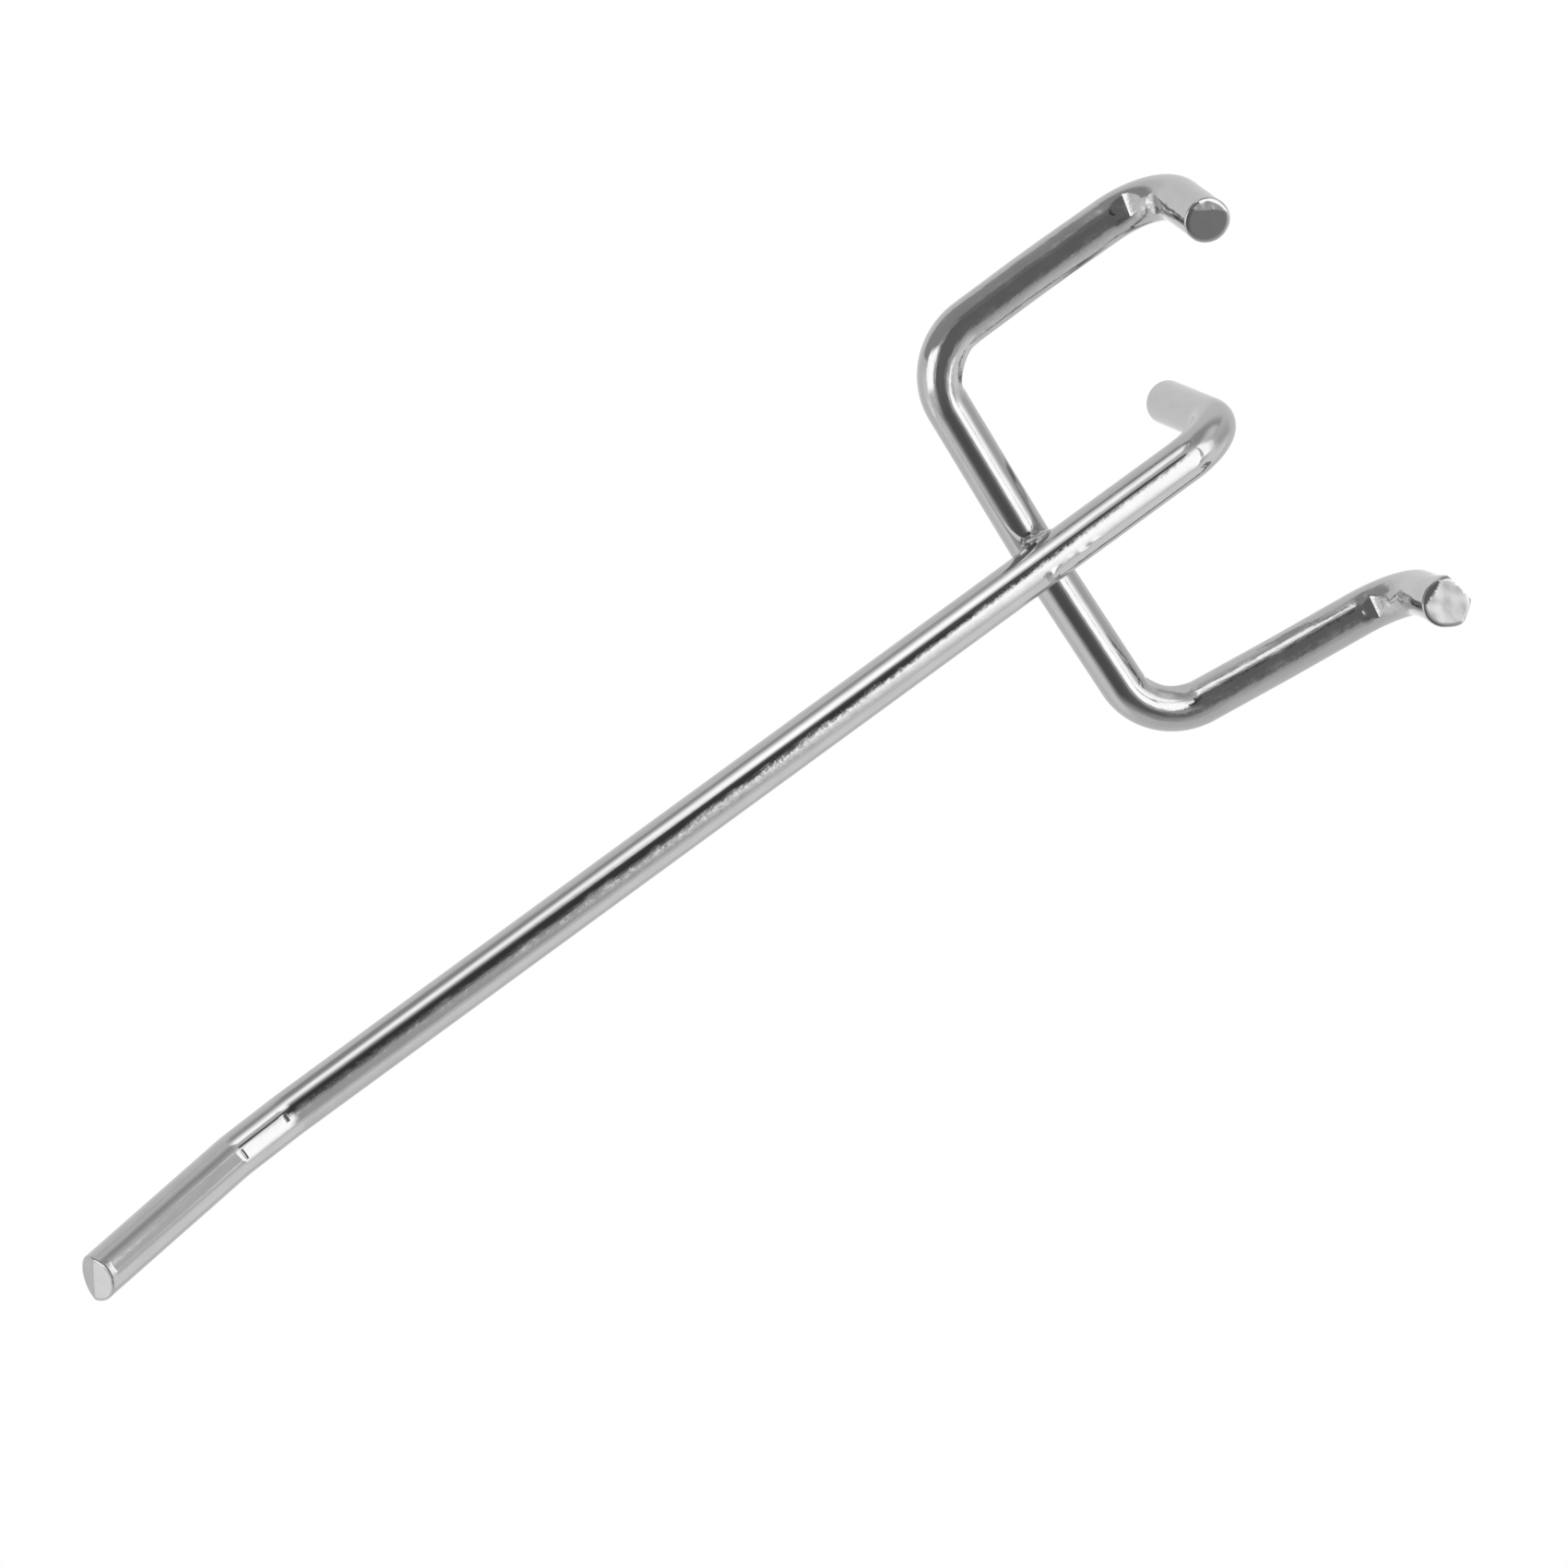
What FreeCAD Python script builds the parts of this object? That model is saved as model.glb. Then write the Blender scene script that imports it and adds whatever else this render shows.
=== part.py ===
import FreeCAD, Part
import math
import os

Vector = FreeCAD.Vector

# Pegboard hook of two round steel wires, welded where they cross.
# The prong wire carries the goods: it ends in a raised tip in front, and behind it turns
# down into a stub that leans on the board. The cross wire is a bracket: its cross bar lies
# under the prong, its two arms slope up and back through two holes of the board, and its
# two pegs stand up behind the board.
#
# Frame: millimetres, origin on the board's front face, level with the cross bar and in
# line with its middle. +Y goes into the board, +Z up, +X to the right as seen
# from the front.

# Wire sizes
prong_wire_diameter = 5.0
cross_wire_diameter = 5.0

# Board that the hook hangs on
board_thickness = 2.0
board_play = 0.46

# Prong wire: lengths run between the corners of its centreline
prong_reach = 107.3
tip_length = 23.1
tip_rise_angle = 15.2
kink_radius = 15.4
stub_setback = 24.0
stub_drop = 19.5
elbow_radius = 6.3
prong_offset = 0.65
prong_skew_angle = 0.17
stub_end_chamfer = 0.5

# Cross wire: lengths run between the corners of its centreline
arm_spacing = 50.1
peg_length = 15.0
cross_bar_bow = 0.44
bow_radius = 30.0
left_corner_radius = 7.1
right_corner_radius = 7.2
left_peg_radius = 7.2
right_peg_radius = 6.75

# Set of the arms: upwards to the rear, outwards in plan, and slightly bowed outwards
arm_rise_angle = 8.0
left_arm_splay = 2.7
right_arm_splay = 4.4
left_arm_bow = 0.22
right_arm_bow = 0.11
arm_bow_radius = 250.0

# Set of each peg: towards the middle of the hook, and towards the board
left_peg_lean_in = 6.9
left_peg_lean_forward = 3.95
right_peg_lean_in = 6.4
right_peg_lean_forward = 3.15

# Flats that the bending pins leave on the inner side of the bends
pin_flat_depth = 0.2

# Weld: how far the wires sink into each other, and the metal squeezed out around them
weld_set_down = 0.5
bead_overhang = 0.4
bead_height = 3.8

# Sheared tip: the cutter leaves two facets that meet in a ridge across the end.
# Slopes are millimetres of setback per millimetre towards the left side and the top.
tip_lower_facet_slopes = (0.36, 0.0)
tip_upper_facet_slopes = (0.18, 0.36)

# Sheared peg ends: a flat face with a slanting facet on one side, and a small chamfer
left_facet_heading = 143.0
left_facet_start = 1.2
left_facet_angle = 22.0
right_facet_heading = 216.0
right_facet_start = 1.4
right_facet_angle = 35.0
peg_end_chamfer = 0.15

# Nipped right peg: two flats pressed into its sides, deepest at the end
nip_headings = (97.0, 31.0)
nip_depth = 0.28
nip_taper_angle = 12.0

prong_radius = prong_wire_diameter / 2
cross_radius = cross_wire_diameter / 2
prong_height = prong_radius + cross_radius - weld_set_down
cross_bar_y = -prong_radius - stub_setback
foot_y = board_thickness + board_play + cross_radius
cutter_size = 6 * max(prong_radius, cross_radius)


def heading(azimuth, elevation=0.0):
    """Unit vector: azimuth in degrees from +X towards +Y, elevation in degrees upwards."""
    flat = math.cos(math.radians(elevation))
    return Vector(
        flat * math.cos(math.radians(azimuth)),
        flat * math.sin(math.radians(azimuth)),
        math.sin(math.radians(elevation)),
    )


def rounded_path(corners, bend_radii):
    """Straight runs between the corners, joined by tangent arcs."""
    edges = []
    start = corners[0]
    for before, corner, after, radius in zip(corners, corners[1:], corners[2:], bend_radii):
        incoming = (corner - before).normalize()
        outgoing = (after - corner).normalize()
        half_turn = incoming.getAngle(outgoing) / 2
        setback = radius * math.tan(half_turn)
        inward = (outgoing - incoming).normalize()
        arc_start = corner - incoming * setback
        arc_middle = corner + inward * (radius / math.cos(half_turn) - radius)
        arc_end = corner + outgoing * setback
        edges.append(Part.LineSegment(start, arc_start).toShape())
        edges.append(Part.Arc(arc_start, arc_middle, arc_end).toShape())
        start = arc_end
    edges.append(Part.LineSegment(start, corners[-1]).toShape())
    return Part.Wire(edges)


def swept_rod(corners, bend_radii, radius):
    """Round rod whose centreline runs through the corners with rounded bends."""
    path = rounded_path(corners, bend_radii)
    section = Part.Wire(Part.makeCircle(radius, corners[0], corners[1] - corners[0]))
    return path.makePipeShell([section], True, False)


def bending_pin(before, corner, after, bend_radius, rod_radius):
    """Pin that a bend was formed around, set into the rod's inner side by the flat's depth."""
    incoming = (corner - before).normalize()
    outgoing = (after - corner).normalize()
    half_turn = incoming.getAngle(outgoing) / 2
    inward = (outgoing - incoming).normalize()
    axis = incoming.cross(outgoing).normalize()
    centre = corner + inward * (bend_radius / math.cos(half_turn))
    pin_radius = bend_radius - rod_radius + pin_flat_depth
    return Part.makeCylinder(pin_radius, 2 * rod_radius, centre - axis * rod_radius, axis)


def cutter(point, outward):
    """Block that takes away what lies outward of a plane through the point."""
    return Part.makeCylinder(cutter_size, cutter_size, point, outward)


def chamfer_end(rod, end, size):
    """Chamfer on the edge of the rod's flat end that lies around the given point."""
    rim = min(rod.Edges, key=lambda edge: (edge.CenterOfMass - end).Length)
    return rod.makeChamfer(size, [rim])


def prong_corners():
    """Corners of the prong wire's centreline, from the tip to the stub's end."""
    rearwards = heading(90 + prong_skew_angle)
    crossing = Vector(prong_offset, cross_bar_y, prong_height)
    kink = crossing - rearwards * prong_reach
    tip = kink + tip_heading() * tip_length
    elbow = crossing + rearwards * stub_setback
    stub_end = elbow - Vector(0, 0, stub_drop)
    return [tip, kink, elbow, stub_end]


def tip_heading():
    return heading(270 + prong_skew_angle, tip_rise_angle)


def facet_normal(slopes):
    """Outward normal of a tip facet, from its setbacks towards the left side and the top."""
    left = Vector(0, 0, 1).cross(tip_heading()).normalize() * -1
    top = tip_heading().cross(left)
    if top.z < 0:
        top = top * -1
    return tip_heading() + left * slopes[0] + top * slopes[1]


def prong_wire():
    corners = prong_corners()
    tip, kink, elbow, stub_end = corners
    overlength = tip + tip_heading() * prong_wire_diameter
    rod = swept_rod([overlength, kink, elbow, stub_end], [kink_radius, elbow_radius], prong_radius)
    rod = rod.cut(bending_pin(kink, elbow, stub_end, elbow_radius, prong_radius))
    rod = chamfer_end(rod, stub_end, stub_end_chamfer)
    for slopes in (tip_lower_facet_slopes, tip_upper_facet_slopes):
        rod = rod.cut(cutter(tip, facet_normal(slopes)))
    return rod


def arm_corners(corner, splay, bow, side):
    """Foot and bowed middle of the arm that starts at the cross bar's corner."""
    along = heading(90 - side * splay, arm_rise_angle)
    foot = corner + along * ((foot_y - corner.y) / along.y)
    middle = (corner + foot) / 2 + Vector(side * bow, 0, 0)
    return foot, middle


def cross_corners():
    """Corners of the cross wire's centreline, from the left peg's end to the right peg's."""
    left_corner = Vector(-arm_spacing / 2, cross_bar_y, 0)
    right_corner = Vector(arm_spacing / 2, cross_bar_y, 0)
    bar_middle = Vector(0, cross_bar_y - cross_bar_bow, 0)
    left_foot, left_middle = arm_corners(left_corner, left_arm_splay, left_arm_bow, -1)
    right_foot, right_middle = arm_corners(right_corner, right_arm_splay, right_arm_bow, 1)
    left_end = left_foot + left_peg_heading() * peg_length
    right_end = right_foot + right_peg_heading() * peg_length
    return [
        left_end,
        left_foot,
        left_middle,
        left_corner,
        bar_middle,
        right_corner,
        right_middle,
        right_foot,
        right_end,
    ]


def peg_heading(lean_in, lean_forward, side):
    sideways = -side * math.tan(math.radians(lean_in))
    forwards = -math.tan(math.radians(lean_forward))
    return Vector(sideways, forwards, 1).normalize()


def left_peg_heading():
    return peg_heading(left_peg_lean_in, left_peg_lean_forward, -1)


def right_peg_heading():
    return peg_heading(right_peg_lean_in, right_peg_lean_forward, 1)


def square_to(axis, azimuth):
    """Unit vector square to the axis, on the side that the azimuth gives."""
    across = heading(azimuth)
    return (across - axis * across.dot(axis)).normalize()


def shear_facet(rod, end, axis, azimuth, start, angle):
    """Slanting facet on an end face, from the start's distance off the axis outwards."""
    across = square_to(axis, azimuth)
    slant = math.radians(angle)
    normal = axis * math.cos(slant) + across * math.sin(slant)
    return rod.cut(cutter(end + across * start, normal))


def nipped_flat(rod, end, axis, azimuth):
    """Flat pressed into the side of a peg, tapering towards its end."""
    across = square_to(axis, azimuth)
    taper = math.radians(nip_taper_angle)
    normal = across * math.cos(taper) + axis * math.sin(taper)
    return rod.cut(cutter(end + across * (cross_radius - nip_depth), normal))


def cross_wire(prong):
    corners = cross_corners()
    bend_radii = [
        left_peg_radius,
        arm_bow_radius,
        left_corner_radius,
        bow_radius,
        right_corner_radius,
        arm_bow_radius,
        right_peg_radius,
    ]
    rod = swept_rod(corners, bend_radii, cross_radius)
    for index in (1, 3, 5, 7):
        before, corner, after = corners[index - 1:index + 2]
        rod = rod.cut(bending_pin(before, corner, after, bend_radii[index - 1], cross_radius))
    rod = chamfer_end(rod, corners[0], peg_end_chamfer)
    rod = chamfer_end(rod, corners[-1], peg_end_chamfer)
    left_axis = left_peg_heading()
    right_axis = right_peg_heading()
    rod = shear_facet(
        rod, corners[0], left_axis, left_facet_heading, left_facet_start, left_facet_angle
    )
    rod = shear_facet(
        rod, corners[-1], right_axis, right_facet_heading, right_facet_start, right_facet_angle
    )
    for azimuth in nip_headings:
        rod = nipped_flat(rod, corners[-1], right_axis, azimuth)
    return rod.cut(prong)


def weld_bead(prong, cross):
    """Ring of metal squeezed out around the crossing, seated on both wires."""
    half_width = max(prong_radius, cross_radius) + bead_overhang
    half_height = bead_height / 2
    centre = Vector(prong_offset, cross_bar_y - cross_bar_bow, cross_radius - weld_set_down / 2)
    half_outline = Part.Arc(
        centre - Vector(0, 0, half_height),
        centre + Vector(half_width, 0, 0),
        centre + Vector(0, 0, half_height),
    )
    axis = Part.LineSegment(centre + Vector(0, 0, half_height), centre - Vector(0, 0, half_height))
    profile = Part.Face(Part.Wire([half_outline.toShape(), axis.toShape()]))
    pad = profile.revolve(centre, Vector(0, 0, 1), 360)
    return pad.cut(prong).cut(cross)


def main():
    os.makedirs("parts", exist_ok=True)
    prong = prong_wire()
    cross = cross_wire(prong)
    bead = weld_bead(prong, cross)
    prong.exportStep("parts/prong_wire.step")
    cross.exportStep("parts/cross_wire.step")
    bead.exportStep("parts/weld_bead.step")


main()
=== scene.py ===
import math

import bpy
from mathutils import Matrix, Vector, noise


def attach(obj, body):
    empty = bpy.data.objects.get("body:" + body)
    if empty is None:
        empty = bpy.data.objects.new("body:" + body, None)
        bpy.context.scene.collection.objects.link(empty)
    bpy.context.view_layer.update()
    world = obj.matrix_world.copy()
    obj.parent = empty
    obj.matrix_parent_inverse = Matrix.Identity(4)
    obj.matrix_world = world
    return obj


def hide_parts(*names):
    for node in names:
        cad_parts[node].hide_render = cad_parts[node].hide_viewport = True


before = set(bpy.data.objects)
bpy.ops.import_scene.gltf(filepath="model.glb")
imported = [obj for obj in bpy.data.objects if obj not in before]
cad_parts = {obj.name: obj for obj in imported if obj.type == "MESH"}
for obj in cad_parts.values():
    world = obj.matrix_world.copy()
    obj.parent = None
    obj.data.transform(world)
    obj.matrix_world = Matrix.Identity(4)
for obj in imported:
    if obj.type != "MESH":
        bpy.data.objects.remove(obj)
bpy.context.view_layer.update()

# Lengths are in millimetres, as in the part's source, and meshes are scaled once. Places
# along a wire are counted from the prong's tip or from the left peg's end. Angles around a
# wire are in degrees: 90 is up, and 0 is left on the prong.
MILLIMETRE = 0.001
WIRE_RADIUS = 2.5

# Prong wire: lengths run between the corners of its centreline
PRONG_REACH = 107.3
TIP_LENGTH = 23.1
TIP_RISE_ANGLE = 15.2
STUB_SETBACK = 24.0
STUB_DROP = 19.5
ELBOW_RADIUS = 6.3
PRONG_OFFSET = 0.65
PRONG_SKEW_ANGLE = 0.17
PRONG_HEIGHT = 4.5

# The two bends of the kink, by their distances from the corner between tip and prong
KINK_FRONT_SETBACK = 2.3
KINK_FRONT_RADIUS = 6.0
KINK_REAR_SETBACK = 5.0
KINK_REAR_RADIUS = 25.0

# Slopes of the tip's facets: setback per millimetre towards the left side and the top
TIP_LOWER_FACET_SLOPES = (0.36, 0.0)
TIP_UPPER_FACET_SLOPES = (0.18, 0.36)
TIP_RIM_SIZE = 0.1
STUB_RIM_SIZE = 0.5
ELBOW_FLAT_DEPTH = 0.15

# Nicks in the kink: place along the wire, and the angles that they run between
KINK_NICKS = ((21.3, 68, 94), (27.2, 62, 82))
NICK_DEPTH = 0.11
NICK_HALF_WIDTH = 0.25

# Band and drop of weld metal right of the prong's top. Pairs give where a mark has faded
# out and where it is whole: along the wire, around it, or by the distance from its middle.
WELD_MARK_ANGLE = 112
BAND_FRONT = (128.0, 130.0)
BAND_REAR = (137.5, 133.0)
BAND_SIDES = (24, 8)
BAND_HEIGHT = 0.02
BAND_RIPPLE = 0.05
DROP_PLACE = 128.8
DROP_RIM = (0.9, 0.2)
DROP_HEIGHT = 0.12

# Burr behind the upper rim of the tip
BURR_ANGLE = 78
BURR_SIDES = (24, 19)
BURR_LENGTH = 0.95
BURR_HEIGHT = 0.085

# Cross wire: lengths run between the corners of its centreline
ARM_SPACING = 50.1
ARM_RISE_ANGLE = 8.0
ARM_BOW_RADIUS = 250.0
CROSS_BAR_Y = -26.5
CROSS_BAR_BOW = 0.44
BOW_RADIUS = 30.0
FOOT_Y = 4.96
PEG_LENGTH = 15.0
LEFT_CORNER_RADIUS = 7.1
RIGHT_CORNER_RADIUS = 7.2
LEFT_PEG_RADIUS = 7.2
RIGHT_PEG_RADIUS = 6.75
LEFT_ARM = {"side": -1, "splay": 2.7, "bow": 0.22}
RIGHT_ARM = {"side": 1, "splay": 4.4, "bow": 0.11}
LEFT_PEG = {"side": -1, "lean_in": 6.9, "lean_forward": 3.95}
RIGHT_PEG = {"side": 1, "lean_in": 6.4, "lean_forward": 3.15}

# End face of the left peg: it leans, and has a slanting facet on its rear left
LEFT_FACE_SLOPE = 0.12
LEFT_FACE_SETBACK = 0.15
LEFT_FACET_AZIMUTH = 143
LEFT_FACET_START = 1.2
LEFT_FACET_ANGLE = 12.5
LEFT_RIM_SIZE = 0.15

# End face of the right peg: it has a facet on its front left and a bevel along its rear rim
RIGHT_FACE_SLOPE = 0.018
RIGHT_FACET_AZIMUTH = 203
RIGHT_FACET_START = 1.75
RIGHT_FACET_ANGLE = 22
RIGHT_BEVEL_SIZE = 0.26
RIGHT_RIM_SIZE = 0.1
RIGHT_RIM_GENTLE_REACH = 0.35

# Squeezed end of the right peg: widened all round and more around the bulge's azimuth,
# shifted as a whole, and cut by two flats, each with its azimuth and distance from the axis
RIGHT_PEG_SQUEEZE = (4.5, 0.2)
RIGHT_PEG_GROWTH = 0.1
BULGE_GROWTH = 0.4
BULGE_AZIMUTH = 78
BULGE_SIDES = (110, 62)
RIGHT_PEG_SHIFT = Vector((0.3, 0.08, 0))
RIGHT_PEG_FLATS = ((101, 2.3), (38, 2.72))
RIGHT_PEG_FLAT_LENGTH = 5
# No vertex of that end lies further from its end point
RIGHT_PEG_END_REACH = 8

# Fineness of the meshes
AROUND = 128
RUN_STEP = 0.4
FINE_STEP = 0.22
FINE_REACH = 8.0
BEND_STEP = 0.18

# Length of rod over which the shape of an end face dies away
END_ZONE = 3.0

# Rings of vertices on an end face, by their distance from its rim
CAP_DISTANCES = (0.02, 0.05, 0.09, 0.14, 0.2, 0.28, 0.4, 0.55, 0.7, 0.85, 1.0, 1.15, 1.3,
                 1.45, 1.6, 1.75, 1.9, 2.05, 2.2, 2.35)

# How worn the end faces are, next to 1 for the arms
FACE_WEAR = 0.03


def heading(azimuth, elevation=0.0):
    """Unit vector: azimuth in degrees from +X towards +Y, elevation in degrees upwards."""
    flat = math.cos(math.radians(elevation))
    return Vector((
        flat * math.cos(math.radians(azimuth)),
        flat * math.sin(math.radians(azimuth)),
        math.sin(math.radians(elevation)),
    ))


def square_to(axis, azimuth):
    """Unit vector square to the axis, on the side that the azimuth gives."""
    across = heading(azimuth)
    return (across - axis * across.dot(axis)).normalized()


def fade(value, none, full):
    """0 where the value is at none, 1 where it is at full, and smooth in between."""
    share = min(1.0, max(0.0, (value - none) / (full - none)))
    return share * share * (3 - 2 * share)


def angle_between(first, second):
    """Signed difference of two angles in degrees, between -180 and 180."""
    return (first - second + 180) % 360 - 180


def run_points(start, end):
    """Points of a straight run without its last point, closer together near its ends."""
    length = (end - start).length
    distances = [0.0]
    while distances[-1] < length:
        here = distances[-1]
        near_end = min(here, length - here) < FINE_REACH
        distances.append(here + (FINE_STEP if near_end else RUN_STEP))
    stretch = length / distances[-1]
    return [start.lerp(end, distance * stretch / length) for distance in distances[:-1]]


def bend_frame(before, corner, after, radius):
    """Centre, axis, start, end and turn of the tangent arc at a corner."""
    incoming = (corner - before).normalized()
    outgoing = (after - corner).normalized()
    half_turn = incoming.angle(outgoing) / 2
    setback = radius * math.tan(half_turn)
    inward = (outgoing - incoming).normalized()
    centre = corner + inward * (radius / math.cos(half_turn))
    axis = incoming.cross(outgoing).normalized()
    return centre, axis, corner - incoming * setback, corner + outgoing * setback, 2 * half_turn


def rounded_path(corners, bend_radii):
    """Points along the centreline, and for each bend its first and last point and centre."""
    points = []
    bends = []
    start = corners[0]
    for before, corner, after, radius in zip(corners, corners[1:], corners[2:], bend_radii):
        centre, axis, arc_start, arc_end, turn = bend_frame(before, corner, after, radius)
        points += run_points(start, arc_start)
        first = len(points)
        count = max(2, round(radius * turn / BEND_STEP))
        for index in range(count):
            spin = Matrix.Rotation(turn * index / count, 3, axis)
            points.append(centre + spin @ (arc_start - centre))
        bends.append((first, len(points), centre))
        start = arc_end
    points += run_points(start, corners[-1])
    points.append(corners[-1].copy())
    return points, bends


def transported_frames(points, side):
    """Tangent and two square directions at each point, carried along without twist."""
    frames = []
    for index in range(len(points)):
        before = points[max(0, index - 1)]
        after = points[min(len(points) - 1, index + 1)]
        tangent = (after - before).normalized()
        side = (side - tangent * side.dot(tangent)).normalized()
        frames.append((tangent, side.copy(), tangent.cross(side)))
    return frames


def path_lengths(points):
    """Length of the centreline from its first point to each point."""
    lengths = [0.0]
    for before, after in zip(points, points[1:]):
        lengths.append(lengths[-1] + (after - before).length)
    return lengths


def bend_marks(points, frames, lengths, bends):
    """For each bend: where it starts and ends along the wire, and the angle of its inside."""
    marks = []
    for first, last, centre in bends:
        tangent, side, up = frames[first]
        inner = (centre - points[first]).normalized()
        inside = math.degrees(math.atan2(inner.dot(up), inner.dot(side)))
        marks.append({"start": lengths[first], "end": lengths[last], "inside": inside})
    return marks


def offset_at(axes, across):
    """Offset from the centreline of a place on the cross section with the given axes."""
    tangent, side, up = axes
    return side * across.x + up * across.y


def tube_faces(rows, start_middle, end_middle):
    """Faces between rows of vertices, closed around a middle vertex at both ends."""
    faces = []
    for lower, upper in zip(rows, rows[1:]):
        for number in range(AROUND):
            following = (number + 1) % AROUND
            faces.append((lower[number], lower[following], upper[following], upper[number]))
    for number in range(AROUND):
        following = (number + 1) % AROUND
        faces.append((start_middle, rows[0][following], rows[0][number]))
        faces.append((end_middle, rows[-1][number], rows[-1][following]))
    return faces


def tube(points, frames, lengths, reach, start_cut, end_cut):
    """Vertices, faces and straightened positions of a rod whose ends follow the two cuts.

    The reach gives the surface's distance from the centreline at a length and an angle. A
    cut gives, for a place on the cross section, how far the end lies beyond the last point.
    """
    vertices = []
    straight = []
    total = lengths[-1]

    def place(index, across, height):
        tangent, side, up = frames[index]
        vertices.append(points[index] + side * across.x + up * across.y + tangent * height)
        straight.append(Vector((across.x, across.y, lengths[index] + height)))

    def cap(index, cut, outward):
        rows = []
        for inset in CAP_DISTANCES:
            row = []
            for number in range(AROUND):
                angle = 2 * math.pi * number / AROUND
                rim = reach(lengths[index], math.degrees(angle))
                distance = rim * (1 - inset / WIRE_RADIUS)
                across = Vector((math.cos(angle), math.sin(angle))) * distance
                row.append(len(vertices))
                place(index, across, outward * cut(across, rim))
            rows.append(row)
        middle = len(vertices)
        place(index, Vector((0, 0)), outward * cut(Vector((0, 0)), WIRE_RADIUS))
        return rows, middle

    sides = []
    for index, length in enumerate(lengths):
        row = []
        for number in range(AROUND):
            angle = 2 * math.pi * number / AROUND
            rim = reach(length, math.degrees(angle))
            across = Vector((math.cos(angle), math.sin(angle))) * rim
            height = 0.0
            if length < END_ZONE:
                height = -start_cut(across, rim) * (1 - length / END_ZONE)
            if total - length < END_ZONE:
                height = end_cut(across, rim) * (1 - (total - length) / END_ZONE)
            row.append(len(vertices))
            place(index, across, height)
        sides.append(row)
    start_rows, start_middle = cap(0, start_cut, -1)
    end_rows, end_middle = cap(len(points) - 1, end_cut, 1)
    rows = [*reversed(start_rows), *sides, *end_rows]
    return vertices, tube_faces(rows, start_middle, end_middle), straight


def flattened(angle, inside, depth):
    """Distance from the centreline on a rod with a flat of the given depth on one side."""
    facing = math.cos(math.radians(angle - inside))
    if facing * WIRE_RADIUS <= WIRE_RADIUS - depth:
        return WIRE_RADIUS
    return (WIRE_RADIUS - depth) / facing


def pin_groove(length, angle, side, deepest, before, after, depth):
    """Distance from the centreline on a rod with a groove pressed across one side.

    The groove slopes down to its deepest line over the lengths before and after it.
    """
    slope_length = before if length < deepest else after
    share = 1 - abs(length - deepest) / slope_length
    if share <= 0:
        return WIRE_RADIUS
    return flattened(angle, side, depth * share)


def rim_rounding(across, rim, size, gentle_reach=0.4):
    """How far an end face drops towards its rim, at first gently and then steeply."""
    gap = max(0.0, rim - across.length)
    gentle = 0.25 * gentle_reach * max(0.0, 1 - gap / gentle_reach) ** 2
    if gap >= size:
        return gentle
    return gentle + size - math.sqrt(size * size - (size - gap) ** 2)


def mottle(across, seed, depth):
    """Slight unevenness of a sheared face."""
    return depth * noise.noise(Vector((across.x * 0.9, across.y * 0.9, seed)))


def facet_drop(offset, outward, azimuth, start, angle):
    """Height of a slanting facet over an end face: 0 or less, falling from its start."""
    beyond = offset.dot(square_to(outward, azimuth)) - start
    return min(0.0, -beyond * math.tan(math.radians(angle)))


def on_end_face(place, total):
    """Whether a straightened position lies on an end face of a rod of the total length."""
    near_end = place.z < END_ZONE or place.z > total - END_ZONE
    return near_end and place.xy.length < WIRE_RADIUS * 0.97


def mesh_object(name, vertices, faces, straight, worn, sharp_angle=8.0):
    """Object with the mesh, its straightened positions and how worn each place is."""
    mesh = bpy.data.meshes.new(name)
    mesh.from_pydata([vertex * MILLIMETRE for vertex in vertices], [], faces)
    layer = mesh.attributes.new("straightened", 'FLOAT_VECTOR', 'POINT')
    for item, value in zip(layer.data, straight):
        item.vector = value
    layer = mesh.attributes.new("worn", 'FLOAT', 'POINT')
    for item, value in zip(layer.data, straight):
        item.value = worn(value)
    mesh.polygons.foreach_set("use_smooth", [True] * len(mesh.polygons))
    mesh.update()
    mesh.set_sharp_from_angle(angle=math.radians(sharp_angle))
    piece = bpy.data.objects.new(name, mesh)
    bpy.context.scene.collection.objects.link(piece)
    return piece


def tip_heading():
    return heading(270 + PRONG_SKEW_ANGLE, TIP_RISE_ANGLE)


def prong_corners():
    """Corners of the prong wire's centreline, from the tip to the stub's end.

    The die bent the kink in two stages: slightly at first, then sharply near the tip.
    """
    rearwards = heading(90 + PRONG_SKEW_ANGLE)
    crossing = Vector((PRONG_OFFSET, CROSS_BAR_Y, PRONG_HEIGHT))
    kink = crossing - rearwards * PRONG_REACH
    tip = kink + tip_heading() * TIP_LENGTH
    kink_front = kink + tip_heading() * KINK_FRONT_SETBACK
    kink_rear = kink + rearwards * KINK_REAR_SETBACK
    elbow = crossing + rearwards * STUB_SETBACK
    stub_end = elbow - Vector((0, 0, STUB_DROP))
    return [tip, kink_front, kink_rear, elbow, stub_end]


def kink_nicks(length, angle):
    """Depth of the nicks that the edges of the bending die left across the top."""
    depth = 0.0
    for place, low, high in KINK_NICKS:
        off = abs(length - place)
        if low < angle < high and off < NICK_HALF_WIDTH:
            depth += NICK_DEPTH * (1 - off / NICK_HALF_WIDTH)
    return depth


def weld_flash(length, angle):
    """Height of the rough band and round drop that the weld left over the bar."""
    aside = angle_between(angle, WELD_MARK_ANGLE)
    band = fade(length, *BAND_FRONT) * fade(length, *BAND_REAR) * fade(abs(aside), *BAND_SIDES)
    ripple = noise.noise(Vector((length, angle * 0.08, 3.0)))
    off_drop = math.hypot(length - DROP_PLACE, WIRE_RADIUS * math.radians(aside))
    drop = DROP_HEIGHT * fade(off_drop, *DROP_RIM)
    return band * (BAND_HEIGHT + BAND_RIPPLE * ripple) + drop


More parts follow.
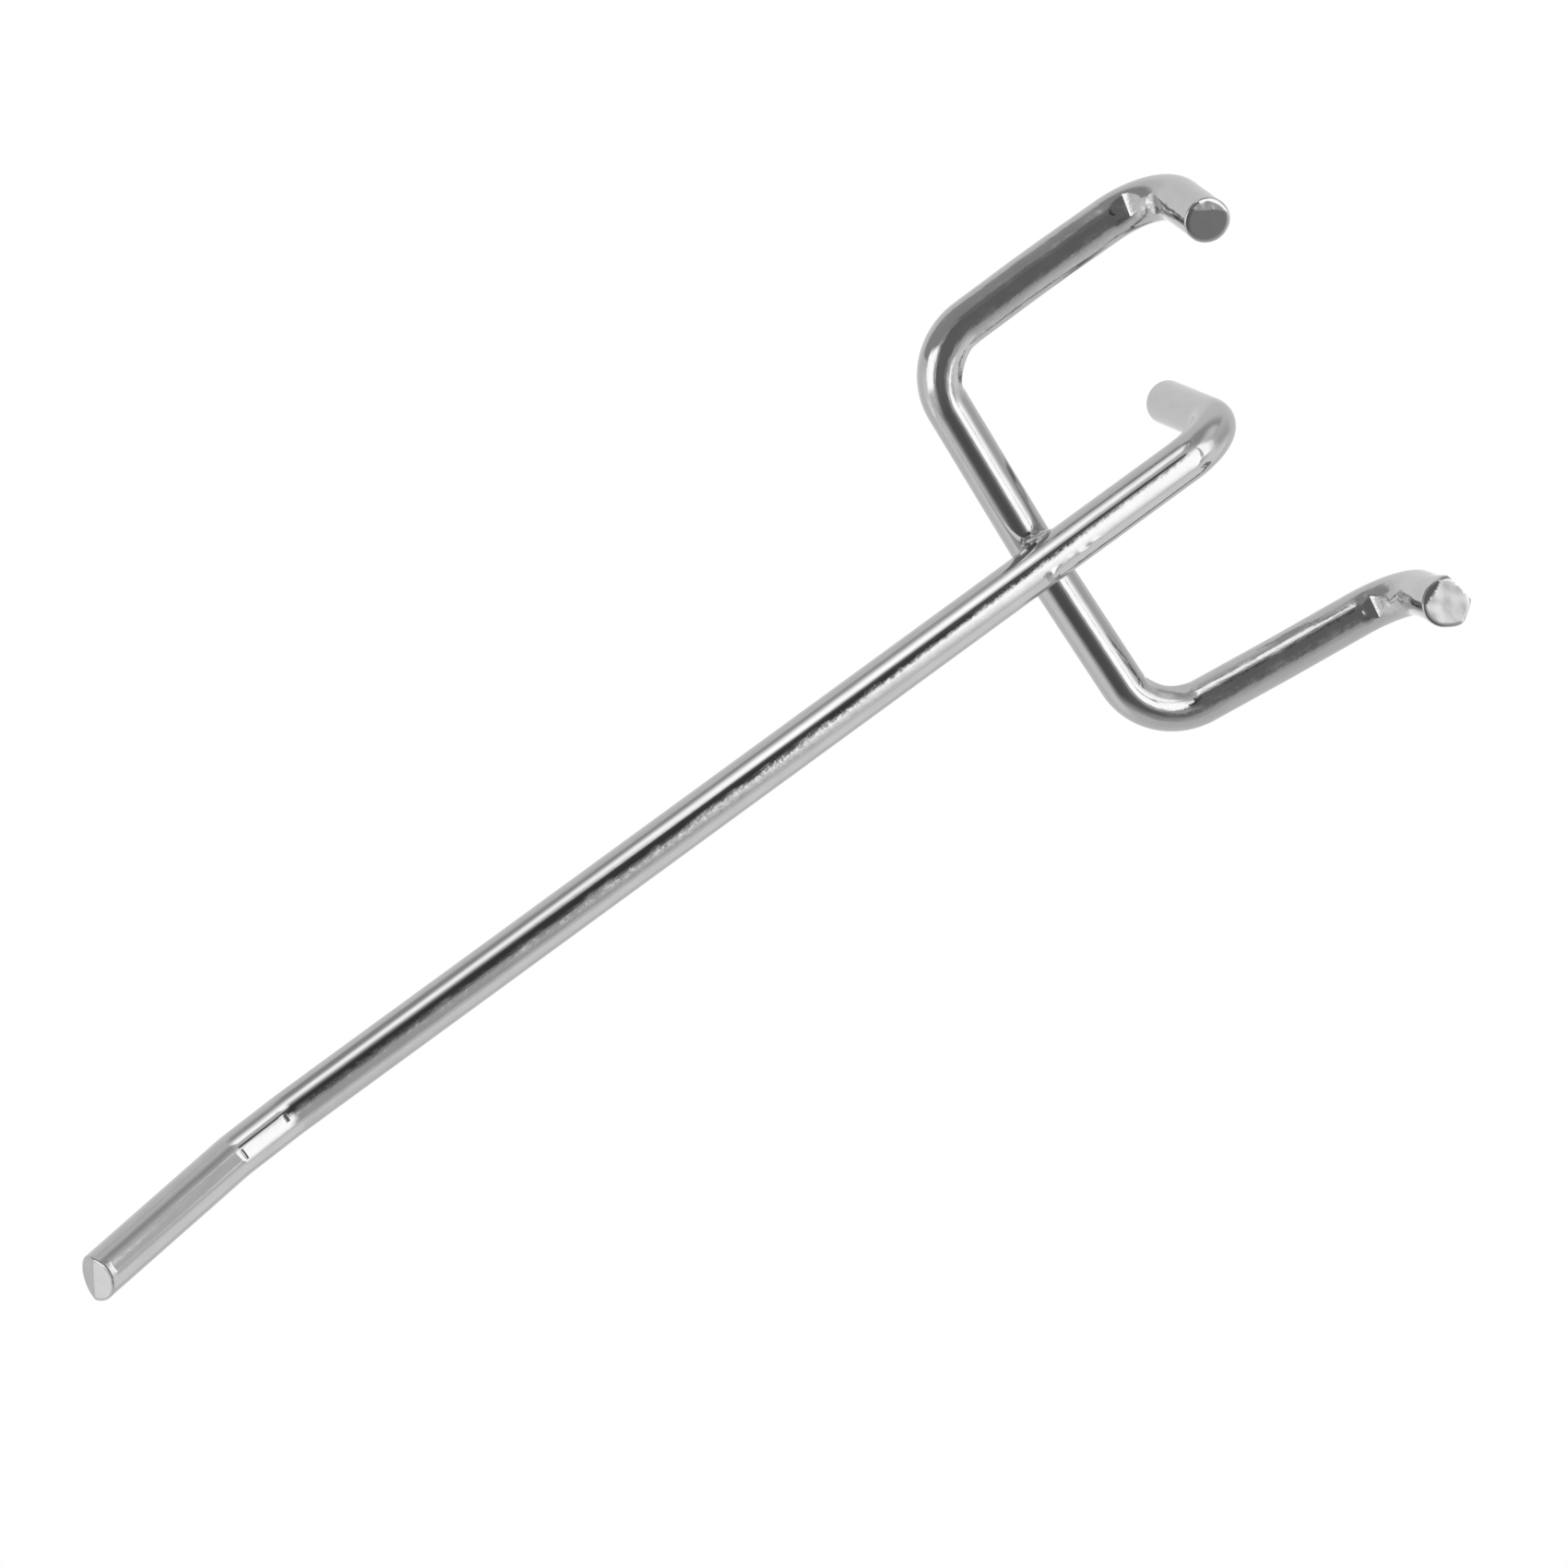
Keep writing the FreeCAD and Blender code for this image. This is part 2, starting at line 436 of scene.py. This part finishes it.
def tip_burr(length, angle):
    """Height of the burr that the cutter raised at the tip, falling off rearwards."""
    aside = angle_between(angle, BURR_ANGLE)
    share = max(0.0, 1 - length / BURR_LENGTH)
    return BURR_HEIGHT * share * fade(abs(aside), *BURR_SIDES)


def elbow_flat(length, angle, elbow):
    """Distance from the centreline on a rod with a flat pressed inside the elbow."""
    middle = (elbow["start"] + elbow["end"]) / 2
    share = 1 - abs(length - middle) / (middle - elbow["start"])
    return flattened(angle, elbow["inside"], ELBOW_FLAT_DEPTH * fade(share, 0.0, 0.6))


def tip_facets(offset):
    """Height of the tip's two facets, which meet in a ridge, over its end point."""
    left = tip_heading().cross(Vector((0, 0, 1))).normalized()
    top = left.cross(tip_heading())
    heights = []
    for slopes in (TIP_LOWER_FACET_SLOPES, TIP_UPPER_FACET_SLOPES):
        heights.append(-offset.dot(left) * slopes[0] - offset.dot(top) * slopes[1])
    return min(heights)


def prong_wear(place):
    """Chatter left of the middle and faint on the right flank, weaker near the weld."""
    chatter = fade(place.x, 1.15, 0.85) * fade(place.x, 0.0, 0.4)
    right_flank = fade(place.x, 0.4, 0.0) * fade(place.x, -2.4, -1.6)
    along = fade(place.z, 16, 26) * (1 - 0.7 * fade(place.z, 90, 118))
    return 0.1 + (0.9 * chatter + 0.3 * right_flank) * along


def prong_piece():
    """Prong wire, from the sheared tip to the stub's end."""
    bend_radii = [KINK_FRONT_RADIUS, KINK_REAR_RADIUS, ELBOW_RADIUS]
    points, bends = rounded_path(prong_corners(), bend_radii)
    frames = transported_frames(points, Vector((-1, 0, 0)))
    lengths = path_lengths(points)
    elbow = bend_marks(points, frames, lengths, bends)[-1]

    def reach(length, angle):
        added = weld_flash(length, angle) + tip_burr(length, angle)
        return elbow_flat(length, angle, elbow) + added - kink_nicks(length, angle)

    def tip_cut(across, rim):
        return tip_facets(offset_at(frames[0], across)) - rim_rounding(across, rim, TIP_RIM_SIZE)

    def stub_cut(across, rim):
        return -rim_rounding(across, rim, STUB_RIM_SIZE)

    def worn(place):
        return FACE_WEAR if on_end_face(place, lengths[-1]) else prong_wear(place)

    vertices, faces, straight = tube(points, frames, lengths, reach, tip_cut, stub_cut)
    return mesh_object("prong", vertices, faces, straight, worn)


def peg_heading(peg):
    """Direction of a peg, from its foot to its end."""
    sideways = -peg["side"] * math.tan(math.radians(peg["lean_in"]))
    forwards = -math.tan(math.radians(peg["lean_forward"]))
    return Vector((sideways, forwards, 1)).normalized()


def arm_corners(corner, arm):
    """Foot and bowed middle of the arm that starts at the cross bar's corner."""
    along = heading(90 - arm["side"] * arm["splay"], ARM_RISE_ANGLE)
    foot = corner + along * ((FOOT_Y - corner.y) / along.y)
    middle = (corner + foot) / 2 + Vector((arm["side"] * arm["bow"], 0, 0))
    return foot, middle


def cross_corners():
    """Corners of the cross wire's centreline, from the left peg's end to the right peg's."""
    left_corner = Vector((-ARM_SPACING / 2, CROSS_BAR_Y, 0))
    right_corner = Vector((ARM_SPACING / 2, CROSS_BAR_Y, 0))
    bar_middle = Vector((0, CROSS_BAR_Y - CROSS_BAR_BOW, 0))
    left_foot, left_middle = arm_corners(left_corner, LEFT_ARM)
    right_foot, right_middle = arm_corners(right_corner, RIGHT_ARM)
    left_end = left_foot + peg_heading(LEFT_PEG) * PEG_LENGTH
    right_end = right_foot + peg_heading(RIGHT_PEG) * PEG_LENGTH
    return [
        left_end,
        left_foot,
        left_middle,
        left_corner,
        bar_middle,
        right_corner,
        right_middle,
        right_foot,
        right_end,
    ]


def bracket_grooves(left_peg, left_corner, right_corner, right_peg):
    """Grooves that the bending pins pressed into the four bends.

    Each gives the angle of its side, its deepest line, its lengths before and after that
    line, and its depth.
    """
    return (
        (left_peg["inside"] + 22, left_peg["start"] + 2.6, 3.6, 1.2, 0.32),
        (left_peg["inside"] + 36, left_peg["end"] - 3.3, 2.9, 2.8, 0.38),
        (left_corner["inside"] + 30, left_corner["start"] + 2.0, 1.5, 4.0, 0.28),
        (left_corner["inside"] + 10, left_corner["end"] - 2.0, 3.2, 1.2, 0.25),
        (right_corner["inside"] + 10, right_corner["start"] + 2.0, 1.2, 3.2, 0.25),
        (right_corner["inside"] + 10, right_corner["end"] - 2.0, 3.2, 1.2, 0.25),
        (right_peg["inside"] - 10, right_peg["start"] + 2.9, 2.3, 2.2, 0.35),
        (right_peg["inside"] + 8, right_peg["end"] - 1.5, 2.2, 3.0, 0.2),
    )


def left_peg_face(axes, across, rim):
    """Height of the left peg's end face over its end point."""
    tangent, side, up = axes
    offset = offset_at(axes, across)
    start = LEFT_FACET_START + mottle(across, 8.0, 0.2)
    facet = facet_drop(offset, -tangent, LEFT_FACET_AZIMUTH, start, LEFT_FACET_ANGLE)
    face = facet + LEFT_FACE_SLOPE * offset.y - LEFT_FACE_SETBACK
    return face - rim_rounding(across, rim, LEFT_RIM_SIZE)


def right_peg_face(axes, across, rim):
    """Height of the right peg's end face over its end point."""
    tangent, side, up = axes
    offset = offset_at(axes, across)
    facet = facet_drop(offset, tangent, RIGHT_FACET_AZIMUTH, RIGHT_FACET_START, RIGHT_FACET_ANGLE)
    face = facet + mottle(across, 2.0, 0.004) - RIGHT_FACE_SLOPE * offset.y
    bevel = max(0.0, RIGHT_BEVEL_SIZE * fade(offset.y, 0.0, 1.0) - rim + across.length)
    return face - bevel - rim_rounding(across, rim, RIGHT_RIM_SIZE, RIGHT_RIM_GENTLE_REACH)


def squeeze_right_peg(vertices, end, axis):
    """Widen the right peg's end and press two flats into it, as the cutter's jaws did."""
    for vertex in vertices:
        below = (end - vertex).dot(axis)
        if below > RIGHT_PEG_FLAT_LENGTH or (vertex - end).length > RIGHT_PEG_END_REACH:
            continue
        offset = vertex - end + axis * below
        azimuth = math.degrees(math.atan2(offset.y, offset.x))
        share = fade(below, *RIGHT_PEG_SQUEEZE)
        aside = angle_between(azimuth, BULGE_AZIMUTH)
        growth = RIGHT_PEG_GROWTH + BULGE_GROWTH * fade(abs(aside), *BULGE_SIDES)
        offset *= 1 + share * growth / WIRE_RADIUS
        for flat_azimuth, distance in RIGHT_PEG_FLATS:
            across = square_to(axis, flat_azimuth)
            beyond = offset.dot(across) - distance
            if beyond > 0:
                offset -= across * beyond
        vertex.xyz = end - axis * below + offset + RIGHT_PEG_SHIFT * share


def cross_wear(place):
    """Fully worn arms and pegs, and a smoother cross bar."""
    on_bar = fade(place.z, 44, 50) * fade(place.z, 92, 86)
    return 1.0 - 0.75 * on_bar


def cross_piece():
    """Bracket: cross bar, two arms and two pegs."""
    bend_radii = [
        LEFT_PEG_RADIUS,
        ARM_BOW_RADIUS,
        LEFT_CORNER_RADIUS,
        BOW_RADIUS,
        RIGHT_CORNER_RADIUS,
        ARM_BOW_RADIUS,
        RIGHT_PEG_RADIUS,
    ]
    corners = cross_corners()
    points, bends = rounded_path(corners, bend_radii)
    frames = transported_frames(points, Vector((1, 0, 0)))
    lengths = path_lengths(points)
    marks = bend_marks(points, frames, lengths, bends)
    grooves = bracket_grooves(marks[0], marks[2], marks[4], marks[6])

    def reach(length, angle):
        return min(pin_groove(length, angle, *groove) for groove in grooves)

    def left_cut(across, rim):
        return left_peg_face(frames[0], across, rim)

    def right_cut(across, rim):
        return right_peg_face(frames[-1], across, rim)

    def worn(place):
        return FACE_WEAR if on_end_face(place, lengths[-1]) else cross_wear(place)

    vertices, faces, straight = tube(points, frames, lengths, reach, left_cut, right_cut)
    squeeze_right_peg(vertices, corners[-1], peg_heading(RIGHT_PEG))
    return mesh_object("bracket", vertices, faces, straight, worn)


def swollen(centre, radii, along):
    """Vertices and faces of an uneven drop of metal, with its last radius along the given way."""
    rows = 20
    around = AROUND // 2
    forward = along.normalized()
    side = forward.orthogonal().normalized()
    up = forward.cross(side)
    vertices = []
    faces = []
    for row in range(rows + 1):
        turn = math.pi * row / rows
        for number in range(around):
            angle = 2 * math.pi * number / around
            flat = math.sin(turn)
            point = side * (radii[0] * flat * math.cos(angle))
            point += up * (radii[1] * flat * math.sin(angle))
            point += forward * (radii[2] * -math.cos(turn))
            point *= 1 + 0.08 * noise.noise((centre + point) * 1.6)
            vertices.append(centre + point)
    for row in range(rows):
        for number in range(around):
            following = (number + 1) % around
            low = row * around
            high = low + around
            faces.append((low + number, low + following, high + following, high + number))
    return vertices, faces


def weld_piece():
    """Ring of metal squeezed out around the crossing, with small folds along its sides."""
    middle = Vector((PRONG_OFFSET, CROSS_BAR_Y - CROSS_BAR_BOW, WIRE_RADIUS - 0.25))
    drops = (
        (middle, (2.75, 2.9, 1.75), Vector((0, 0, 1))),
        (Vector((-1.75, -27.2, 3.1)), (0.42, 0.3, 1.3), Vector((0.15, 1, 0.05))),
        (Vector((-1.6, -26.1, 3.55)), (0.3, 0.25, 1.5), Vector((0.05, 1, 0.05))),
        (Vector((2.75, -27.4, 3.0)), (0.35, 0.4, 1.4), Vector((0, 1, 0.05))),
    )
    vertices = []
    faces = []
    for centre, radii, along in drops:
        more_vertices, more_faces = swollen(centre, radii, along)
        start = len(vertices)
        vertices += more_vertices
        faces += [tuple(start + index for index in face) for face in more_faces]
    straight = [vertex - middle for vertex in vertices]

    def worn(place):
        return 1.0

    return mesh_object("weld", vertices, faces, straight, worn, sharp_angle=40.0)


def node(tree, kind, **settings):
    """New node of the kind, with its settings."""
    made = tree.nodes.new(kind)
    for name, value in settings.items():
        setattr(made, name, value)
    return made


def feed(tree, socket, value):
    """Set a socket to a number, or link another node's output to it."""
    if isinstance(value, (int, float)):
        socket.default_value = value
    else:
        tree.links.new(value, socket)


def math_node(tree, operation, first, second):
    made = node(tree, 'ShaderNodeMath', operation=operation)
    feed(tree, made.inputs[0], first)
    feed(tree, made.inputs[1], second)
    return made.outputs[0]


def noise_node(tree, vector, scale, detail):
    made = node(tree, 'ShaderNodeTexNoise')
    made.inputs["Scale"].default_value = scale
    made.inputs["Detail"].default_value = detail
    tree.links.new(vector, made.inputs["Vector"])
    return made.outputs["Fac"]


def stretched(tree, vector, lengthwise):
    """Straightened positions squeezed along the wire, which draws out a texture that way."""
    made = node(tree, 'ShaderNodeMapping')
    made.inputs["Scale"].default_value = (1.0, 1.0, lengthwise)
    tree.links.new(vector, made.inputs["Vector"])
    return made.outputs[0]


def range_node(tree, value, low, high, to_low, to_high):
    """The value carried over from one range to another in a straight line, and held there."""
    made = node(tree, 'ShaderNodeMapRange')
    made.inputs["From Min"].default_value = low
    made.inputs["From Max"].default_value = high
    made.inputs["To Min"].default_value = to_low
    made.inputs["To Max"].default_value = to_high
    tree.links.new(value, made.inputs["Value"])
    return made.outputs["Result"]


def tone_node(tree, value, low, dark, high, light):
    """Grey between a dark and a light level, as the value goes from low to high."""
    made = node(tree, 'ShaderNodeValToRGB')
    made.color_ramp.elements[0].position = low
    made.color_ramp.elements[0].color = (dark, dark, dark, 1)
    made.color_ramp.elements[1].position = high
    made.color_ramp.elements[1].color = (light, light, light, 1)
    tree.links.new(value, made.inputs["Fac"])
    return made.outputs["Color"]


def chrome(name, roughness, relief):
    """Bright plating over drawn wire, with fine streaks and dull smears where it is worn."""
    material = bpy.data.materials.new(name)
    material.use_nodes = True
    tree = material.node_tree
    links = tree.links
    shader = tree.nodes["Principled BSDF"]
    shader.inputs["Metallic"].default_value = 1.0
    shader.inputs["Specular Tint"].default_value = (0.97, 0.97, 0.97, 1)
    position = node(tree, 'ShaderNodeAttribute', attribute_name="straightened").outputs["Vector"]
    worn = node(tree, 'ShaderNodeAttribute', attribute_name="worn").outputs["Fac"]
    streaks = noise_node(tree, stretched(tree, position, 0.12), scale=4.0, detail=3.0)
    specks = noise_node(tree, stretched(tree, position, 0.5), scale=2.0, detail=2.0)
    smears = noise_node(tree, stretched(tree, position, 0.4), scale=0.8, detail=4.0)
    links.new(tone_node(tree, smears, 0.3, 0.53, 0.7, 0.57), shader.inputs["Base Color"])
    dull = math_node(tree, 'MULTIPLY', range_node(tree, smears, 0.45, 0.7, 0.0, 0.16), worn)
    streaky = range_node(tree, streaks, 0.3, 0.7, roughness, roughness * 1.8)
    links.new(math_node(tree, 'ADD', streaky, dull), shader.inputs["Roughness"])
    height = math_node(tree, 'ADD', streaks, math_node(tree, 'MULTIPLY', specks, 0.8))
    height = math_node(tree, 'ADD', height, math_node(tree, 'MULTIPLY', smears, 1.5))
    bump = node(tree, 'ShaderNodeBump')
    links.new(math_node(tree, 'MULTIPLY', worn, relief), bump.inputs["Strength"])
    bump.inputs["Distance"].default_value = 0.02 * MILLIMETRE
    links.new(height, bump.inputs["Height"])
    links.new(bump.outputs["Normal"], shader.inputs["Normal"])
    return material


# Zones of the studio as seen from the hook. Each is a soft-edged rectangle square to its
# aim: azimuth, elevation, roll, half width, half height, softness of both edges, brightness.
# Each is laid over the ones before it.
STUDIO_ZONES = (
    (311.1, 51.9, 12, 0.518, 0.640, 0.367, 0.363, 0.37),
    (239.0, 69.3, 14, 0.937, 0.470, 0.220, 0.108, 0.18),
    (166.6, 56.4, 108, 0.410, 0.055, 0.293, 0.025, 0.06),
    (77.1, 69.7, 5, 0.732, 0.200, 0.349, 0.020, 1.75),
    (96.1, 41.9, -7, 0.548, 0.201, 0.121, 0.019, 1.69),
    (53.1, 60.5, -2, 0.077, 0.150, 0.022, 0.020, 1.78),
    (173.9, 15.2, 72, 0.148, 0.177, 0.181, 0.022, 1.67),
    (169.5, 25.6, 94, 0.154, 0.030, 0.148, 0.016, 1.80),
    (235.1, 32.5, 2, 0.466, 0.067, 0.102, 0.093, 1.40),
    (39.2, 19.0, 89, 0.165, 0.030, 0.126, 0.063, 0.86),
    (277.5, -5.3, 7, 0.688, 0.312, 0.221, 0.141, 0.90),
    (205.7, 0.2, -8, 0.570, 0.785, 0.040, 0.215, 0.37),
    (129.4, 9.2, -2, 0.530, 0.464, 0.134, 0.290, 0.41),
    (300.5, 48.3, -21, 0.098, 0.394, 0.168, 0.140, 0.11),
    (332.6, 13.6, 4, 0.424, 0.326, 0.248, 0.193, 0.70),
    (36.2, 12.9, -6, 0.581, 0.484, 0.064, 0.218, 0.98),
    (181.8, -11.9, 4, 0.239, 0.158, 0.106, 0.142, 0.39),
    (265.8, 26.4, -2, 0.160, 0.028, 0.129, 0.074, 1.19),
    (115.8, 16.6, -1, 0.235, 0.299, 0.190, 0.165, 0.83),
    (71.6, 4.9, 3, 0.257, 0.362, 0.246, 0.229, 0.59),
    (77.5, 33.5, 1, 0.351, 0.062, 0.162, 0.150, 1.05),
    (146.8, 58.5, 0, 0.021, 0.030, 0.040, 0.057, 0.73),
    (13.0, 66.6, -8, 0.081, 0.387, 0.061, 0.181, 0.53),
    (244.6, 19.2, 4, 0.320, 0.308, 0.078, 0.093, 1.77),
    (192.1, 8.6, -1, 0.218, 0.353, 0.095, 0.130, 0.36),
    (169.0, 11.1, 2, 0.063, 0.028, 0.057, 0.071, 1.32),
    (271.4, 53.4, -1, 0.155, 0.075, 0.106, 0.084, 0.16),
    (106.5, 60.3, 0, 0.084, 0.023, 0.066, 0.037, 1.60),
    (186.0, 37.0, 0, 0.110, 0.180, 0.050, 0.050, 0.22),
    (162.5, 48.0, 0, 0.050, 0.070, 0.030, 0.035, 0.10),
    (276.0, -8.0, 0, 0.130, 0.100, 0.030, 0.040, 1.20),
)
# Least cosine of the angle between a direction and a zone's aim. What lies further off
# isn't in the zone.
LEAST_AHEAD = 0.15

# Brightness of the bare room below, at and above the horizon, and the heights between which
# one gives way to the next. A direction's height is the sine of its elevation.
GROUND_LEVEL = 0.79
HORIZON_LEVEL = 0.74
CEILING_LEVEL = 0.69
GROUND_TO_HORIZON = (-0.65, -0.15)
HORIZON_TO_CEILING = (-0.1, 0.4)
ROOM_TO_SHEET = (-0.78, -0.86)

# The white sheet under the hook is brightest along the photo's line of sight. Outwards it
# falls off, between two cosines of the angle to that line.
SHEET_MIDDLE = Vector((0.32791, 0.15271, -0.93228))
SHEET_MIDDLE_LEVEL = 1.0
SHEET_EDGE_LEVEL = 0.87
SHEET_EDGE_TO_MIDDLE = (0.965, 0.988)

WHITE = (1, 1, 1, 1)


def zone_basis(azimuth, elevation, roll):
    """Aim of a zone and its rolled sideways and upwards directions."""
    aim = heading(azimuth, elevation)
    sideways = heading(azimuth + 90)
    upwards = aim.cross(sideways)
    turn = math.radians(roll)
    across = sideways * math.cos(turn) + upwards * math.sin(turn)
    along = upwards * math.cos(turn) - sideways * math.sin(turn)
    return aim, across, along


def dot_node(tree, vector, constant):
    made = node(tree, 'ShaderNodeVectorMath', operation='DOT_PRODUCT')
    tree.links.new(vector, made.inputs[0])
    made.inputs[1].default_value = constant
    return made.outputs["Value"]


def fade_node(tree, value, none, full):
    """0 where the value is at none, 1 where it is at full, and smooth in between."""
    made = node(tree, 'ShaderNodeMapRange', interpolation_type='SMOOTHSTEP')
    made.inputs["From Min"].default_value = none
    made.inputs["From Max"].default_value = full
    tree.links.new(value, made.inputs["Value"])
    return made.outputs["Result"]


def blend_node(tree, share, below, above):
    """The level below where the share is 0, the level above where it is 1."""
    made = node(tree, 'ShaderNodeMix', data_type='FLOAT')
    feed(tree, made.inputs[0], share)
    feed(tree, made.inputs[2], below)
    feed(tree, made.inputs[3], above)
    return made.outputs[0]


def zone_share(tree, direction, zone):
    """How much of a direction a zone covers: 1 inside, 0 outside, smooth at its edges."""
    azimuth, elevation, roll, half_width, half_height, soft_width, soft_height, brightness = zone
    aim, across, along = zone_basis(azimuth, elevation, roll)
    ahead = math_node(tree, 'MAXIMUM', dot_node(tree, direction, aim), LEAST_AHEAD)
    share = math_node(tree, 'GREATER_THAN', ahead, LEAST_AHEAD + 0.001)
    sides = ((across, half_width, soft_width), (along, half_height, soft_height))
    for side, half, soft in sides:
        offset = math_node(tree, 'DIVIDE', dot_node(tree, direction, side), ahead)
        offset = math_node(tree, 'ABSOLUTE', offset, 0.0)
        inside = fade_node(tree, offset, half + soft, half - soft)
        share = math_node(tree, 'MULTIPLY', inside, share)
    return share


def room_level(tree, direction, height):
    """Brightness of the room in a direction, with all its zones."""
    above_ground = fade_node(tree, height, *GROUND_TO_HORIZON)
    level = blend_node(tree, above_ground, GROUND_LEVEL, HORIZON_LEVEL)
    above_horizon = fade_node(tree, height, *HORIZON_TO_CEILING)
    level = blend_node(tree, above_horizon, level, CEILING_LEVEL)
    for zone in STUDIO_ZONES:
        level = blend_node(tree, zone_share(tree, direction, zone), level, zone[-1])
    return level


def sheet_level(tree, direction):
    """Brightness of the white sheet in a direction."""
    in_middle = fade_node(tree, dot_node(tree, direction, SHEET_MIDDLE), *SHEET_EDGE_TO_MIDDLE)
    return blend_node(tree, in_middle, SHEET_EDGE_LEVEL, SHEET_MIDDLE_LEVEL)


def background_node(tree, level):
    made = node(tree, 'ShaderNodeBackground')
    made.inputs["Color"].default_value = WHITE
    tree.links.new(level, made.inputs["Strength"])
    return made.outputs[0]


def studio_world():
    """Room around the hook, with bright windows and dark walls, and a white sheet below."""
    world = bpy.data.worlds.new("studio")
    bpy.context.scene.world = world
    world.use_nodes = True
    tree = world.node_tree
    tree.nodes.clear()
    direction = node(tree, 'ShaderNodeTexCoord').outputs["Generated"]
    height = dot_node(tree, direction, Vector((0, 0, 1)))
    mixed = node(tree, 'ShaderNodeMixShader')
    tree.links.new(fade_node(tree, height, *ROOM_TO_SHEET), mixed.inputs["Fac"])
    tree.links.new(background_node(tree, room_level(tree, direction, height)), mixed.inputs[1])
    tree.links.new(background_node(tree, sheet_level(tree, direction)), mixed.inputs[2])
    output = node(tree, 'ShaderNodeOutputWorld')
    tree.links.new(mixed.outputs[0], output.inputs["Surface"])


def camera():
    """Long lens high on the left, rolled so that the prong points down to the left."""
    data = bpy.data.cameras.new("camera")
    data.sensor_width = 36.0
    data.lens = 211.185
    data.dof.use_dof = False
    made = bpy.data.objects.new("camera", data)
    bpy.context.scene.collection.objects.link(made)
    right = Vector((0.51330, 0.79967, 0.31153))
    up = Vector((-0.79309, 0.58070, -0.18383))
    back = Vector((-0.32791, -0.15271, 0.93228))
    turn = Matrix((right, up, back)).transposed().to_4x4()
    place = Vector((-320.00, -215.41, 924.53)) * MILLIMETRE
    made.matrix_world = Matrix.Translation(place) @ turn
    bpy.context.scene.camera = made


def dress(piece, material, replaced):
    """Give a piece its material, hang it on the root body, and hide the part of the model that it
    replaces.
    """
    piece.data.materials.append(material)
    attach(piece, "root")
    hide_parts(replaced)


def main():
    wire_chrome = chrome("chrome wire", roughness=0.02, relief=0.85)
    weld_chrome = chrome("chrome weld", roughness=0.1, relief=0.9)
    dress(prong_piece(), wire_chrome, "prong_wire")
    dress(cross_piece(), wire_chrome, "cross_wire")
    dress(weld_piece(), weld_chrome, "weld_bead")
    studio_world()
    camera()
    bpy.context.scene.view_settings.view_transform = 'Standard'


main()
